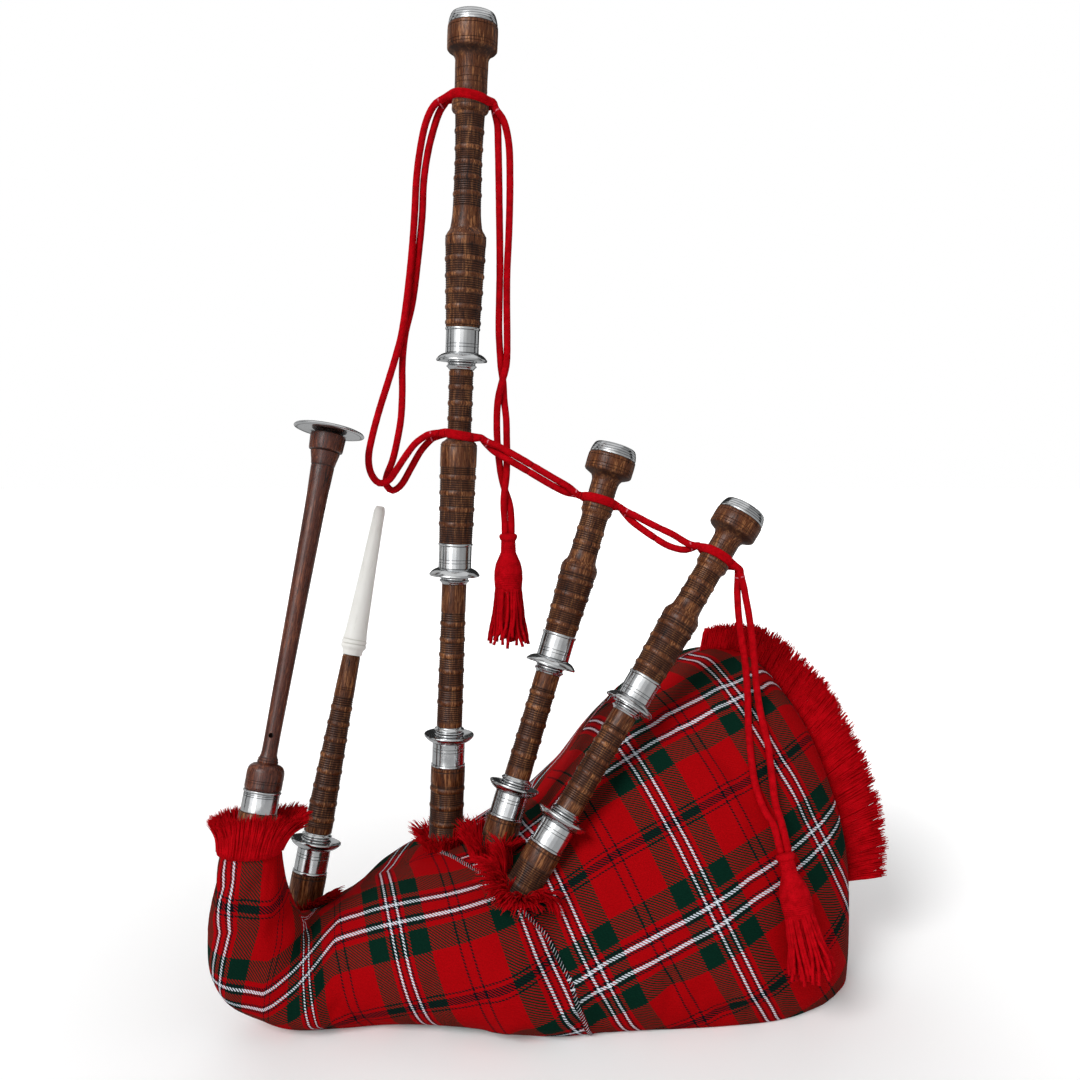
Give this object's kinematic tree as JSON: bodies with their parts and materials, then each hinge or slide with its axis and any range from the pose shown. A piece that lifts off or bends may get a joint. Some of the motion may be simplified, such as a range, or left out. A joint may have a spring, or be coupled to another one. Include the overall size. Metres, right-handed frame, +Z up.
{
  "type": "highland bagpipe",
  "caption": "Highland bagpipe standing on its tartan-covered bag, with drones, blowpipe, chanter and a red drone cord with tassels.",
  "frame": {"origin": "on the floor under the middle of the bag, in the plane of its flat underside", "axes": "+Z up, +X towards the bag's fringed end, -Y towards the side that the chanter's thumb hole faces"},
  "size_m": [0.6829, 0.3292, 0.9878],
  "materials": {
    "drone_wood": "oiled and polished dark red-brown wood, turned and combed",
    "chanter_wood": "polished dark wood, plain turned",
    "polished_mount": "polished nickel plate with engraved lines",
    "mouthpiece_plastic": "polished imitation ivory",
    "tartan_cloth": "twill-woven tartan wool",
    "bag_hide": "matt hide",
    "cord_wool": "red wool cord and cut yarn",
    "reed_cane": "dry cane",
    "valve_rubber": "soft flap"
  },
  "bodies": {
    "root": {"bag_cover": "tartan_cloth", "inner_bag": "bag_hide", "end_fringe": "cord_wool", "chanter_frill": "cord_wool", "blowpipe_frill": "cord_wool", "bass_frill": "cord_wool", "tenor_1_frill": "cord_wool", "tenor_2_frill": "cord_wool", "chanter_stock": "drone_wood", "chanter_stock_ferrule": "polished_mount", "blowpipe_stock": "drone_wood", "blowpipe_stock_mount": "polished_mount", "bass_stock": "drone_wood", "bass_stock_mount": "polished_mount", "tenor_1_stock": "drone_wood", "tenor_1_stock_mount": "polished_mount", "tenor_2_stock": "drone_wood", "tenor_2_stock_mount": "polished_mount", "cord_bass_to_tenor_1": "cord_wool", "cord_tenor_1_to_tenor_2": "cord_wool", "cord_tenor_2_drop": "cord_wool", "tassel_2": "cord_wool"},
    "bass_bottom": {"bass_bottom_joint": "drone_wood", "bass_bottom_lower_collar": "polished_mount", "bass_bottom_upper_collar": "polished_mount", "bass_reed": "reed_cane"},
    "bass_middle": {"bass_middle_joint": "drone_wood", "bass_middle_mount": "polished_mount", "bass_middle_collar": "polished_mount", "bass_middle_cord_loop": "cord_wool"},
    "bass_top": {"bass_top_joint": "drone_wood", "bass_top_mount": "polished_mount", "bass_bell_cap": "polished_mount", "bass_top_cord_loop": "cord_wool", "cord_bass_drop": "cord_wool", "cord_left_loop": "cord_wool", "tassel_1": "cord_wool"},
    "tenor_1_bottom": {"tenor_1_bottom_joint": "drone_wood", "tenor_1_bottom_lower_collar": "polished_mount", "tenor_1_bottom_upper_collar": "polished_mount", "tenor_1_reed": "reed_cane"},
    "tenor_1_top": {"tenor_1_top_joint": "drone_wood", "tenor_1_top_mount": "polished_mount", "tenor_1_bell_cap": "polished_mount", "tenor_1_top_cord_loop": "cord_wool"},
    "tenor_2_bottom": {"tenor_2_bottom_joint": "drone_wood", "tenor_2_bottom_lower_collar": "polished_mount", "tenor_2_bottom_upper_collar": "polished_mount", "tenor_2_reed": "reed_cane"},
    "tenor_2_top": {"tenor_2_top_joint": "drone_wood", "tenor_2_top_mount": "polished_mount", "tenor_2_bell_cap": "polished_mount", "tenor_2_top_cord_loop": "cord_wool"},
    "chanter_body": {"chanter": "chanter_wood", "chanter_sole": "polished_mount", "chanter_reed": "reed_cane"},
    "blowpipe_body": {"blowpipe": "drone_wood", "blowpipe_collar": "polished_mount"},
    "mouthpiece_body": {"mouthpiece": "mouthpiece_plastic"},
    "valve_body": {"blowpipe_valve": "valve_rubber"}
  },
  "joints": [
    {"name": "bass_bottom_turn", "type": "hinge", "parent": "root", "child": "bass_bottom", "pos_m": [-0.0963, -0.00096, 0.23684], "axis": [0.0399, 0.0479, 0.9981], "continuous": true},
    {"name": "bass_lower_tuning_slide", "type": "slide", "parent": "root", "child": "bass_middle", "axis": [0.0399, 0.0479, 0.9981], "range_m": [0, 0.03]},
    {"name": "bass_upper_tuning_slide", "type": "slide", "parent": "bass_middle", "child": "bass_top", "axis": [0.0399, 0.0479, 0.9981], "range_m": [0, 0.03]},
    {"name": "tenor_1_bottom_turn", "type": "hinge", "parent": "root", "child": "tenor_1_bottom", "pos_m": [-0.03167, -0.04414, 0.1966], "axis": [0.2884, 0.207, 0.9349], "continuous": true},
    {"name": "tenor_1_tuning_slide", "type": "slide", "parent": "root", "child": "tenor_1_top", "axis": [0.2884, 0.207, 0.9349], "range_m": [0, 0.03]},
    {"name": "tenor_2_bottom_turn", "type": "hinge", "parent": "root", "child": "tenor_2_bottom", "pos_m": [0.01218, -0.09035, 0.18229], "axis": [0.5209, 0.2673, 0.8107], "continuous": true},
    {"name": "tenor_2_tuning_slide", "type": "slide", "parent": "root", "child": "tenor_2_top", "axis": [0.5209, 0.2673, 0.8107], "range_m": [0, 0.03]},
    {"name": "chanter_turn", "type": "hinge", "parent": "root", "child": "chanter_body", "pos_m": [-0.26541, -0.12507, 0.2209], "axis": [0.1555, 0.2535, 0.9547], "continuous": true},
    {"name": "blowpipe_turn", "type": "hinge", "parent": "root", "child": "blowpipe_body", "pos_m": [-0.23578, -0.03396, 0.13352], "axis": [0.1787, 0.198, 0.9638], "continuous": true},
    {"name": "mouthpiece_turn", "type": "hinge", "parent": "blowpipe_body", "child": "mouthpiece_body", "pos_m": [-0.1961, 0.00999, 0.34748], "axis": [0.1787, 0.198, 0.9638], "continuous": true},
    {"name": "valve_flap", "type": "hinge", "parent": "blowpipe_body", "child": "valve_body", "pos_m": [-0.24793, -0.03819, 0.11294], "axis": [0, 0.9796, -0.2012], "range_deg": [0, 45], "stiffness_Nm_per_rad": 0.002}
  ]
}
